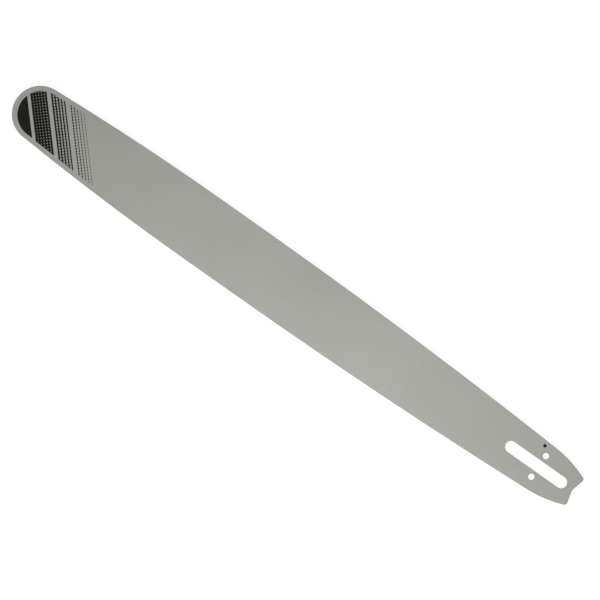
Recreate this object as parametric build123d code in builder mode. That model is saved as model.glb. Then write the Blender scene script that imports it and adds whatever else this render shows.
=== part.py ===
from build123d import *
from math import atan2, degrees, sqrt
import os

# A solid-nose guide bar for a large chainsaw, machined from one plate of steel.
# The bar lies on its back face. X runs from the stud slot to the nose, and Z points out of the front face.
# The origin is at the middle of the stud slot, on the back face. Sizes are in millimetres.

# Plate
bar_length = 683.8          # from the nose tip to the tail tips, before their corners are rounded
bar_width = 70.2            # across the belly, the widest stretch
bar_thickness = 4.8
belly_length = 58.0         # both edges are straight here
nose_draw = 6.5             # how far each edge draws in from the belly to the round of the nose
nose_flank_radius = 3000.0  # the long curve between the belly and the nose
shoulder_width = 50.7       # where the tail starts to round in
shoulder_length = 41.8      # from the shoulders to the tail tips
tail_width = 31.3           # across the tail tips, before their corners are rounded
tip_radius = 3.0
notch_depth = 4.0           # the shallow vee between the tail tips
notch_radius = 7.0
rail_chamfer = 0.4

# Chain groove
groove_width = 1.5          # the gauge of the chain's drive links
groove_depth = 8.5
groove_run_out = 3.0        # how far the groove's floor is cut on behind the tail
mouth_flare = 0.75          # how far each side of the groove is opened where the chain enters or leaves
mouth_length = 12.0

# Fastening
slot_length = 73.5
slot_width = 12.0
slot_to_tail = 11.35        # from the end of the stud slot to the tail tips
pin_hole_diameter = 6.5
pin_hole_spacing = 25.4
pin_hole_setback = 3.1      # from the middle of the slot towards the tail
oil_hole_diameter = 3.0
oil_hole_lead = 3.7         # from the middle of the slot towards the nose
oil_hole_cover = 3.7        # steel left between an oil hole and the edge of the rail
hole_chamfer = 0.3

# Places along the bar
half_width = bar_width / 2
tail_x = -(slot_length / 2 + slot_to_tail)
shoulder_x = tail_x + shoulder_length
nose_tip_x = tail_x + bar_length
nose_radius = half_width - nose_draw
nose_x = nose_tip_x - nose_radius
nose_flank_length = sqrt((2 * nose_flank_radius - half_width - nose_radius) * nose_draw)
nose_flank_angle = degrees(atan2(nose_flank_length, nose_flank_radius - half_width))
belly_rear_x = nose_x - nose_flank_length - belly_length

# The flank between the belly and the shoulders is one arc too
tail_flank_length = belly_rear_x - shoulder_x
tail_draw = half_width - shoulder_width / 2
tail_flank_radius = (tail_flank_length**2 + tail_draw**2) / (2 * tail_draw)

# An oil hole lies in from the edge of the tail flank
oil_hole_reach = belly_rear_x - oil_hole_lead
oil_hole_edge = half_width - tail_flank_radius + sqrt(tail_flank_radius**2 - oil_hole_reach**2)
oil_hole_y = oil_hole_edge - oil_hole_cover - oil_hole_diameter / 2


def draw_rail():
    """Draw a rail's running edge from the nose tip to the tail tip, and return its last stretch."""
    nose = CenterArc((nose_x, 0), nose_radius, 0, 90 - nose_flank_angle)
    nose_flank = JernArc(nose @ 1, nose % 1, nose_flank_radius, nose_flank_angle)
    belly = PolarLine(nose_flank @ 1, belly_length, direction=nose_flank % 1)
    tail_flank = TangentArc(belly @ 1, (shoulder_x, shoulder_width / 2), tangent=belly % 1)
    return TangentArc(tail_flank @ 1, (tail_x, tail_width / 2), tangent=tail_flank % 1)


# The cutter for the groove: a ring along both rails and round the nose, flared at the tail
with BuildPart() as groove_cutter:
    with BuildSketch(Plane.XY.offset(bar_thickness / 2)):
        with BuildLine():
            shoulder = draw_rail()
            run_out = PolarLine(shoulder @ 1, groove_depth + groove_run_out, direction=shoulder % 1)
            cutter_end_x = (run_out @ 1).X
            Line(run_out @ 1, (cutter_end_x, 0))
            mirror(about=Plane.XZ)
        make_face()
        offset(amount=-groove_depth, kind=Kind.INTERSECTION, mode=Mode.SUBTRACT)
    extrude(amount=groove_width / 2 + mouth_flare, both=True)
    with BuildSketch(Plane.XZ.shift_origin((0, 0, bar_thickness / 2))):
        with BuildLine():
            Polyline(
                (nose_tip_x, 0),
                (nose_tip_x, groove_width / 2),
                (tail_x + mouth_length, groove_width / 2),
                (tail_x, groove_width / 2 + mouth_flare),
                (cutter_end_x, groove_width / 2 + mouth_flare),
                (cutter_end_x, 0),
            )
            mirror(about=Plane.XZ)
        make_face()
    extrude(amount=bar_width, both=True, mode=Mode.INTERSECT)

# The bar: the plate with its groove, stud slot, tensioner pin holes and oil holes
with BuildPart() as guide_bar:
    with BuildSketch() as outline:
        with BuildLine():
            shoulder = draw_rail()
            Line(shoulder @ 1, (tail_x + notch_depth, 0))
            mirror(about=Plane.XZ)
        make_face()
        fillet(outline.vertices().group_by(Axis.X)[0], radius=tip_radius)
        fillet(outline.vertices().sort_by_distance((tail_x + notch_depth, 0))[0], radius=notch_radius)
    extrude(amount=bar_thickness)
    chamfer(guide_bar.faces().filter_by(Axis.Z).edges(), length=rail_chamfer)

    add(groove_cutter.part, mode=Mode.SUBTRACT)

    with BuildSketch():
        SlotOverall(slot_length, slot_width)
        with Locations((-pin_hole_setback, 0)):
            with GridLocations(0, pin_hole_spacing, 1, 2):
                Circle(pin_hole_diameter / 2)
    extrude(amount=bar_thickness, mode=Mode.SUBTRACT)

    # One oil hole in each face, into the groove of the upper rail when that face is turned to the saw
    front_oil_hole = Location((oil_hole_lead, -oil_hole_y, bar_thickness))
    back_oil_hole = Location((oil_hole_lead, oil_hole_y, 0), (180, 0, 0))
    with Locations(front_oil_hole, back_oil_hole):
        Hole(oil_hole_diameter / 2, depth=bar_thickness / 2)

    back_face, *_, front_face = guide_bar.faces().sort_by(Axis.Z)
    chamfer(back_face.inner_wires().edges() + front_face.inner_wires().edges(), length=hole_chamfer)

guide_bar.part.label = "guide_bar"

os.makedirs("parts", exist_ok=True)
export_step(guide_bar.part, "parts/guide_bar.step")
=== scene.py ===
from math import atan2, ceil, cos, floor, pi, radians, sin, sqrt

import bmesh
import bpy
from mathutils import Matrix, Vector


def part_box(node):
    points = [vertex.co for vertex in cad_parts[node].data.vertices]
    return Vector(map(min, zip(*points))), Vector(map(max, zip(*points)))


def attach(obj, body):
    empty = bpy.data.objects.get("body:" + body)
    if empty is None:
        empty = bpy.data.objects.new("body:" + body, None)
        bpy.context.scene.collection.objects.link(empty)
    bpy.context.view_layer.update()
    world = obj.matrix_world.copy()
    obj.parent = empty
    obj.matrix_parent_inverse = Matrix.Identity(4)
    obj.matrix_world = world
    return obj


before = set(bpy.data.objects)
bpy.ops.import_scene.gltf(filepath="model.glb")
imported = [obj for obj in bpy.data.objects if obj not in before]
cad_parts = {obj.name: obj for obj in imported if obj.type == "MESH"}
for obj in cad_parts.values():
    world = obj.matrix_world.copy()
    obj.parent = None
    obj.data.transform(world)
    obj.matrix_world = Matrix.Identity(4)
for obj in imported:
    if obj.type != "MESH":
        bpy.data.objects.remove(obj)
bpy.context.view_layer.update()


# Guide bar
# One plate of alloy steel, cut to shape, hardened and sprayed with silver-grey stove enamel. The rails are
# ground after painting, so they and their edges are bare. The groove keeps the dull scale of the hardening,
# with painted shade making it darker, and the oil holes are painted shade of a deep hole, with a little oil.
MM = 0.001
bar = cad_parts["guide_bar"]
bar_low, bar_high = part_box("guide_bar")
bar_middle_z = (bar_low.z + bar_high.z) / 2
bar_half_thickness = (bar_high.z - bar_low.z) / 2
paint_film = 0.03 * MM
groove_half_width = 0.76 * MM
slot_reach_x = 60 * MM          # the walls of the stud slot and the notch lie behind this
slot_reach_y = 7.3 * MM         # and within this of the bar's axis
pin_hole_at = (-3.1 * MM, 12.7 * MM, 0)
pin_hole_reach = 3.8 * MM
oil_hole_at = (3.7 * MM, 20.7 * MM, 0)
# wide enough that the hole's chamfer takes the painted shade too
oil_hole_reach = 1.9 * MM


def linear(hex_colour):
    """A colour written as an sRGB hex value, as the linear RGBA that a shader takes."""
    channels = [int(hex_colour[i:i + 2], 16) / 255 for i in (1, 3, 5)]
    return [c / 12.92 if c <= 0.04045 else ((c + 0.055) / 1.055) ** 2.4 for c in channels] + [1.0]


def add_node(tree, kind, inputs=(), **settings):
    """Add a node with its settings. Each input gets a number or colour, or is linked to a socket.

    A Mix node's inputs go by number: 0 is the factor, 2 and 3 are numbers, 6 and 7 are colours."""
    made = tree.nodes.new(kind)
    for name, value in settings.items():
        setattr(made, name, value)
    for name, value in dict(inputs).items():
        if isinstance(value, bpy.types.NodeSocket):
            tree.links.new(value, made.inputs[name])
        else:
            made.inputs[name].default_value = value
    return made


def new_material(name):
    """An empty material with its own nodes, and its output."""
    material = bpy.data.materials.new(name)
    material.use_nodes = True
    tree = material.node_tree
    tree.nodes.clear()
    return material, tree, add_node(tree, "ShaderNodeOutputMaterial")


def enamelled_steel():
    """Sprayed silver-grey enamel: satin, with fine flake and a faint orange peel. Ground rails: bare grey
    steel with lengthwise marks. Groove: dull scale, made darker by painted shade. Oil holes: painted
    shade of a deep hole, with a little oil."""
    enamel_grey = linear("#9E9E98")
    enamel_light = linear("#A8A8A2")
    steel_grey = linear("#8E8C88")
    # the groove's dull scale with painted shade, and the painted shade of the oil holes
    scale_and_painted_shade = linear("#3A3835")
    drift_size = 120 * MM
    flake_size = 1.3 * MM           # real flake is under 0.1 mm, drawn coarser to show
    tone_range = (0.7, 1.3)         # of drift and flake added up, from grey to light enamel
    peel_size = 2.5 * MM
    grind_length = 30 * MM
    grind_width = 0.25 * MM
    grind_range = (0.3, 0.7)        # from the smoothest to the roughest marks
    enamel_roughness = (0.40, 0.52)
    ground_roughness = (0.24, 0.42)
    scale_roughness = 0.65
    relief_strength = 0.3
    relief_depth = 0.05 * MM

    # Places on the bar, with its two long halves taken as one, and depth from the middle of its thickness
    material, tree, output = new_material("silver_grey_enamel_on_ground_steel")
    place = add_node(tree, "ShaderNodeTexCoord").outputs["Object"]
    x, y, z = add_node(tree, "ShaderNodeSeparateXYZ", {0: place}).outputs
    side = add_node(tree, "ShaderNodeMath", {0: y}, operation="ABSOLUTE").outputs[0]
    folded = add_node(tree, "ShaderNodeCombineXYZ", {0: x, 1: side}).outputs[0]
    height = add_node(tree, "ShaderNodeMath", {0: z, 1: bar_middle_z}, operation="SUBTRACT").outputs[0]
    depth = add_node(tree, "ShaderNodeMath", {0: height}, operation="ABSOLUTE").outputs[0]

    # Walls that keep their paint: the stud slot, the notch between the groove's mouths, and the pin holes
    behind = add_node(tree, "ShaderNodeMath", {0: x, 1: slot_reach_x}, operation="LESS_THAN").outputs[0]
    within = add_node(tree, "ShaderNodeMath", {0: side, 1: slot_reach_y}, operation="LESS_THAN").outputs[0]
    slot_wall = add_node(tree, "ShaderNodeMath", {0: behind, 1: within}, operation="MULTIPLY").outputs[0]
    from_pin = add_node(tree, "ShaderNodeVectorMath", {0: folded, 1: pin_hole_at},
                        operation="DISTANCE").outputs["Value"]
    pin_wall = add_node(tree, "ShaderNodeMath", {0: from_pin, 1: pin_hole_reach},
                        operation="LESS_THAN").outputs[0]
    painted_wall = add_node(tree, "ShaderNodeMath", {0: slot_wall, 1: pin_wall},
                            operation="MAXIMUM").outputs[0]

    # All else below the faces is bare, and dark in the groove and the oil holes: dull scale with painted
    # shade
    below = add_node(tree, "ShaderNodeMath", {0: depth, 1: bar_half_thickness - paint_film},
                     operation="LESS_THAN").outputs[0]
    bare = add_node(tree, "ShaderNodeMath", {0: below, 1: painted_wall}, operation="SUBTRACT",
                    use_clamp=True).outputs[0]
    in_groove = add_node(tree, "ShaderNodeMath", {0: depth, 1: groove_half_width},
                         operation="LESS_THAN").outputs[0]
    # the oil holes, chamfer and all, take the painted shade of a deep hole, with a little oil
    from_oil = add_node(tree, "ShaderNodeVectorMath", {0: folded, 1: oil_hole_at},
                        operation="DISTANCE").outputs["Value"]
    in_oil_hole = add_node(tree, "ShaderNodeMath", {0: from_oil, 1: oil_hole_reach},
                           operation="LESS_THAN").outputs[0]
    # the mask of painted shade: the groove, over its dull scale, and the oil holes
    scale_and_shade_mask = add_node(tree, "ShaderNodeMath", {0: in_groove, 1: in_oil_hole}, operation="MAXIMUM").outputs[0]

    # Enamel: a slow drift in tone and a fine flake
    drift = add_node(tree, "ShaderNodeTexNoise", {
        "Vector": place, "Scale": 1 / drift_size, "Detail": 2}).outputs[0]
    flake = add_node(tree, "ShaderNodeTexNoise", {
        "Vector": place, "Scale": 1 / flake_size, "Detail": 3}).outputs[0]
    drift_and_flake = add_node(tree, "ShaderNodeMath", {0: drift, 1: flake}, operation="ADD").outputs[0]
    tone = add_node(tree, "ShaderNodeMapRange", {
        "Value": drift_and_flake, "From Min": tone_range[0], "From Max": tone_range[1]}).outputs[0]
    enamel = add_node(tree, "ShaderNodeMix", {0: tone, 6: enamel_grey, 7: enamel_light},
                      data_type="RGBA").outputs[2]
    enamel_finish = add_node(tree, "ShaderNodeMapRange", {
        "Value": flake, "To Min": enamel_roughness[0], "To Max": enamel_roughness[1]}).outputs[0]

    # Ground steel: marks drawn out along the rails, round the nose too
    stretch = (1 / grind_length, 1 / grind_length, 1 / grind_width)
    along = add_node(tree, "ShaderNodeVectorMath", {0: place, 1: stretch}, operation="MULTIPLY").outputs[0]
    marks = add_node(tree, "ShaderNodeTexNoise", {"Vector": along, "Scale": 1.0, "Detail": 4}).outputs[0]
    ground_finish = add_node(tree, "ShaderNodeMapRange", {
        "Value": marks, "From Min": grind_range[0], "From Max": grind_range[1],
        "To Min": ground_roughness[0], "To Max": ground_roughness[1]}).outputs[0]
    # painted shade in the groove and the oil holes, over the steel's dull scale
    steel = add_node(tree, "ShaderNodeMix", {0: scale_and_shade_mask, 6: steel_grey, 7: scale_and_painted_shade},
                     data_type="RGBA").outputs[2]
    bare_finish = add_node(tree, "ShaderNodeMix", {0: scale_and_shade_mask, 2: ground_finish, 3: scale_roughness}).outputs[0]

    # Orange peel in the enamel, and the grinding marks where it is bare
    peel = add_node(tree, "ShaderNodeTexNoise", {
        "Vector": place, "Scale": 1 / peel_size, "Detail": 2}).outputs[0]
    relief = add_node(tree, "ShaderNodeMix", {0: bare, 2: peel, 3: marks}).outputs[0]
    bump = add_node(tree, "ShaderNodeBump", {
        "Height": relief, "Strength": relief_strength, "Distance": relief_depth}).outputs[0]
    colour = add_node(tree, "ShaderNodeMix", {0: bare, 6: enamel, 7: steel}, data_type="RGBA").outputs[2]
    roughness = add_node(tree, "ShaderNodeMix", {0: bare, 2: enamel_finish, 3: bare_finish}).outputs[0]
    shader = add_node(tree, "ShaderNodeBsdfPrincipled", {
        "Base Color": colour, "Metallic": bare, "Roughness": roughness, "Normal": bump})
    tree.links.new(shader.outputs[0], output.inputs["Surface"])
    return material


plate_finish = enamelled_steel()
for slot in bar.material_slots:
    slot.material = plate_finish


# Nose print
# A film of black ink, screen-printed inside the rails on both faces, because the bar is turned over in use.
# A solid tip is followed by three bands of a coarse halftone, parted by open stripes. Two bands are ink with
# rows of small openings, and the last is rows of dashes.
nose_radius = 28.6 * MM
nose_flank_radius = 3000 * MM
print_margin = 4.7 * MM         # bare enamel between the print and the edge of the bar
print_tip_margin = 5.7 * MM     # the same at the nose tip
stripe_slant = radians(48)      # between the stripes and the length of the bar
row_pitch = 2.97 * MM           # about, because each band has whole rows
column_pitch = 2.87 * MM
stripe_width = row_pitch        # a row left out
stripe_places = (11.8 * MM, 31.9 * MM, 49.7 * MM)  # from the nose tip, square to the stripes
fade_end = 66.0 * MM
band_ink = ((0.96, 0.86), (0.74, 0.45), (0.36, 0.10))  # share of ink where a band starts and ends
dash_limit = 0.5                # a band that starts with less ink than this is rows of dashes
dash_length = 0.75              # share of the column's pitch
opening_stretch = 1.6           # an opening's length against its height, as shares of the two pitches
ink_film = 0.04 * MM
weld_distance = 0.002 * MM
half_width = bar_high.y
along_stripe = Vector((-cos(stripe_slant), sin(stripe_slant)))
across_stripe = Vector((-sin(stripe_slant), -cos(stripe_slant)))
nose_tip = Vector((bar_high.x, 0))


def print_outline():
    """The edge of the print, once round: the nose and its flanks, drawn in, to just past the fade's end."""
    arc_steps = 48
    flank_steps = 12
    flank_length = 90 * MM
    nose_x = bar_high.x - nose_radius
    nose_centre = Vector((nose_x, 0))
    flank_run = sqrt((2 * nose_flank_radius - half_width - nose_radius) * (half_width - nose_radius))
    flank_angle = atan2(flank_run, nose_flank_radius - half_width)
    flank_centre = Vector((nose_x - flank_run, half_width - nose_flank_radius))
    shift = Vector((print_margin - print_tip_margin, 0))
    upper = []
    for i in range(arc_steps + 1):
        turn = (pi / 2 - flank_angle) * i / arc_steps
        outward = Vector((cos(turn), sin(turn)))
        upper.append(nose_centre + (nose_radius - print_margin) * outward + shift)
    for i in range(1, flank_steps + 1):
        turn = flank_angle - flank_length / nose_flank_radius * i / flank_steps
        outward = Vector((sin(turn), cos(turn)))
        upper.append(flank_centre + (nose_flank_radius - print_margin) * outward + shift)
    lower = [Vector((p.x, -p.y)) for p in reversed(upper[1:])]
    return lower + upper


def keep_side(polygon, point, inward):
    """The part of a convex polygon on one side of a line through a point."""
    kept = []
    for a, b in zip(polygon, polygon[1:] + polygon[:1]):
        da, db = (a - point).dot(inward), (b - point).dot(inward)
        if da >= 0:
            kept.append(a)
        if da * db < 0:
            kept.append(a.lerp(b, da / (da - db)))
    return kept


def rectangle(across, along, height, length):
    """Four corners about a middle, which is given by its distances across and along the stripes."""
    middle = nose_tip + across_stripe * across + along_stripe * along
    return [middle + across_stripe * (height * i / 2) + along_stripe * (length * j / 2)
            for i, j in ((-1, -1), (-1, 1), (1, 1), (1, -1))]


def open_height(open_share):
    """The height of an opening, as a share of the row's pitch, from the open share of its cell."""
    return sqrt(open_share / opening_stretch)


def ink_round_opening(across, along, pitch, open_share):
    """The ink of one cell, as four patches round the opening in its middle."""
    height = open_height(open_share)
    outer = rectangle(across, along, pitch, column_pitch)
    inner = rectangle(across, along, pitch * height, column_pitch * height * opening_stretch)
    return [[outer[i - 1], outer[i], inner[i], inner[i - 1]] for i in range(4)]


def halftone_column(along, start, end, ink_start, ink_end):
    """The patches of ink in one column of a band, from one open stripe to the next."""
    rows = round((end - start) / row_pitch)
    pitch = (end - start) / rows

    def ink_share(row):
        return ink_start + (ink_end - ink_start) * row / rows

    if ink_start < dash_limit:
        middles = [row + 0.5 for row in range(rows)]
        return [rectangle(start + pitch * row, along, pitch * ink_share(row) / dash_length,
                          column_pitch * dash_length) for row in middles]
    patches = []
    for stripe_edge, inward, row in ((start, 1, 0), (end, -1, rows)):
        height = pitch * (1 - open_height(1 - ink_share(row))) / 2
        patches.append(rectangle(stripe_edge + inward * (pitch - height) / 2, along, height, column_pitch))
    for row in range(1, rows):
        patches += ink_round_opening(start + pitch * row, along, pitch, 1 - ink_share(row))
    return patches


def print_shapes():
    """Every patch of ink on one face, as flat convex polygons."""
    outline = print_outline()
    limits = [(a, Vector((a.y - b.y, b.x - a.x))) for a, b in zip(outline, outline[1:] + outline[:1])]
    first_stripe = nose_tip + across_stripe * (stripe_places[0] - stripe_width / 2)
    shapes = [keep_side(outline, first_stripe, -across_stripe)]
    reach = [(p - nose_tip).dot(along_stripe) / column_pitch for p in outline]
    band_ends = [*stripe_places, fade_end + stripe_width / 2]
    for near_stripe, far_stripe, (ink_start, ink_end) in zip(band_ends, band_ends[1:], band_ink):
        start = near_stripe + stripe_width / 2
        end = far_stripe - stripe_width / 2
        for column in range(floor(min(reach)), ceil(max(reach)) + 1):
            for patch in halftone_column(column_pitch * column, start, end, ink_start, ink_end):
                for corner, inward in limits:
                    patch = keep_side(patch, corner, inward)
                if len(patch) > 2:
                    shapes.append(patch)
    return shapes


def ink_mesh(name, shapes):
    """The patches of ink on the front face, welded where they meet and raised to a thin closed film."""
    mesh = bmesh.new()
    for shape in shapes:
        mesh.faces.new([mesh.verts.new((p.x, p.y, bar_high.z)) for p in shape])
    bmesh.ops.remove_doubles(mesh, verts=mesh.verts, dist=weld_distance)
    mesh.verts.index_update()
    rims = [(loop.vert, loop.link_loop_next.vert)
            for face in mesh.faces for loop in face.loops if loop.edge.is_boundary]
    top = [mesh.verts.new(vert.co + Vector((0, 0, ink_film))) for vert in mesh.verts[:]]
    for face in mesh.faces[:]:
        mesh.faces.new([top[vert.index] for vert in face.verts])
    for a, b in rims:
        mesh.faces.new([a, b, top[b.index], top[a.index]])
    bmesh.ops.recalc_face_normals(mesh, faces=mesh.faces)
    data = bpy.data.meshes.new(name)
    mesh.to_mesh(data)
    mesh.free()
    return data


def printing_ink():
    """Black screen-printing ink: an even matt-satin film, a little uneven in density."""
    ink_black = linear("#10120F")
    ink_thin = linear("#1C1E1A")
    uneven_size = 3 * MM
    thin_range = (0.45, 0.75)       # of the unevenness, from full to thin ink
    ink_roughness = (0.42, 0.58)
    ink_specular = 0.1

    material, tree, output = new_material("black_screen_ink")
    place = add_node(tree, "ShaderNodeTexCoord").outputs["Object"]
    uneven = add_node(tree, "ShaderNodeTexNoise", {
        "Vector": place, "Scale": 1 / uneven_size, "Detail": 3}).outputs[0]
    thin = add_node(tree, "ShaderNodeMapRange", {
        "Value": uneven, "From Min": thin_range[0], "From Max": thin_range[1]}).outputs[0]
    colour = add_node(tree, "ShaderNodeMix", {0: thin, 6: ink_black, 7: ink_thin},
                      data_type="RGBA").outputs[2]
    roughness = add_node(tree, "ShaderNodeMapRange", {
        "Value": uneven, "To Min": ink_roughness[0], "To Max": ink_roughness[1]}).outputs[0]
    shader = add_node(tree, "ShaderNodeBsdfPrincipled", {
        "Base Color": colour, "Roughness": roughness, "Specular IOR Level": ink_specular})
    tree.links.new(shader.outputs[0], output.inputs["Surface"])
    return material


ink = printing_ink()
turned_over = Matrix.Translation((0, 0, 2 * bar_middle_z)) @ Matrix.Rotation(pi, 4, "X")
patches = print_shapes()
for name, placed in (("nose_print_front", Matrix.Identity(4)), ("nose_print_back", turned_over)):
    film = ink_mesh(name, patches)
    film.transform(placed)
    film.materials.append(ink)
    nose_print = bpy.data.objects.new(name, film)
    bpy.context.scene.collection.objects.link(nose_print)
    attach(nose_print, "root")


# Table
# A plain white table top that the bar lies on. It shows white to the camera and in reflections, and keeps a
# part of its own shading, so the bar's shadow stays on it.
table_size = 8.0
table_gap = 0.05 * MM
pure_white = linear("#FFFFFF")


def seen_directly(tree):
    """One for what the camera, a reflection or glass looks at, and zero for light that falls on surfaces."""
    rays = add_node(tree, "ShaderNodeLightPath").outputs
    seen = add_node(tree, "ShaderNodeMath", {0: rays["Is Camera Ray"], 1: rays["Is Glossy Ray"]},
                    operation="MAXIMUM").outputs[0]
    return add_node(tree, "ShaderNodeMath", {0: seen, 1: rays["Is Transmission Ray"]},
                    operation="MAXIMUM").outputs[0]


def white_table():
    """Matt white board. Light that falls on it comes back as from white board, and what is seen of it is
    mostly glow."""
    board_white = linear("#FAFAF9")
    shading_share = 0.2
    glow = 0.9

    material, tree, output = new_material("matt_white_board")
    seen = seen_directly(tree)
    shading = [shading_share * c for c in board_white[:3]] + [1.0]
    colour = add_node(tree, "ShaderNodeMix", {0: seen, 6: board_white, 7: shading},
                      data_type="RGBA").outputs[2]
    board = add_node(tree, "ShaderNodeBsdfDiffuse", {"Color": colour}).outputs[0]
    strength = add_node(tree, "ShaderNodeMath", {0: seen, 1: glow}, operation="MULTIPLY").outputs[0]
    white = add_node(tree, "ShaderNodeEmission", {"Color": pure_white, "Strength": strength}).outputs[0]
    both = add_node(tree, "ShaderNodeAddShader", {0: board, 1: white})
    tree.links.new(both.outputs[0], output.inputs["Surface"])
    return material


table_edge = table_size / 2
table_corners = [(i * table_edge, j * table_edge, 0) for i, j in ((-1, -1), (1, -1), (1, 1), (-1, 1))]
table_mesh = bpy.data.meshes.new("table")
table_mesh.from_pydata(table_corners, [], [(0, 1, 2, 3)])
table_mesh.materials.append(white_table())
table = bpy.data.objects.new("table", table_mesh)
table.location.z = bar_low.z - table_gap
bpy.context.scene.collection.objects.link(table)


# Light
# An even white room, and one large soft lamp beside the tail half of the bar. It is turned towards the nose,
# so the bar is a little darker at both ends, and more so at the nose.
room_light = 0.35               # what falls on surfaces
room_seen = 1.0                 # what shows behind the table and in reflections: white
lamp_size = 0.7
lamp_power = 5.05
lamp_place = Vector((0.18, 0.45, 0.42))
lamp_aim = Vector((0.48, 0, 0))

world = bpy.data.worlds.new("white_room")
world.use_nodes = True
room = world.node_tree
room.nodes.clear()
room_strength = add_node(room, "ShaderNodeMix", {
    0: seen_directly(room), 2: room_light, 3: room_seen}).outputs[0]
background = add_node(room, "ShaderNodeBackground", {"Color": pure_white, "Strength": room_strength})
add_node(room, "ShaderNodeOutputWorld", {"Surface": background.outputs[0]})
bpy.context.scene.world = world

lamp_data = bpy.data.lights.new("soft_lamp", "AREA")
lamp_data.size = lamp_size
lamp_data.energy = lamp_power
lamp = bpy.data.objects.new("soft_lamp", lamp_data)
lamp.location = lamp_place
lamp.rotation_euler = (lamp_aim - lamp_place).to_track_quat("-Z", "Y").to_euler()
lamp.visible_camera = False
bpy.context.scene.collection.objects.link(lamp)


# Camera
# It looks straight down on the front face, from so far that the walls of the slot hardly show. The bar's axis
# falls from upper left to lower right in the picture.
frame_width = 600 * MM          # what the picture shows, at the front face
picture_centre = (287.95 * MM, 1.74 * MM)
axis_fall = radians(35.26)      # below the horizontal
camera_distance = 6.0
sensor_width = 36.0             # in millimetres, as the lens is

camera_data = bpy.data.cameras.new("camera")
camera_data.sensor_width = sensor_width
camera_data.lens = sensor_width * camera_distance / frame_width
camera = bpy.data.objects.new("camera", camera_data)
camera.location = (*picture_centre, bar_high.z + camera_distance)
camera.rotation_euler.z = pi + axis_fall
bpy.context.scene.collection.objects.link(camera)
bpy.context.scene.camera = camera
bpy.context.scene.view_settings.view_transform = "Standard"
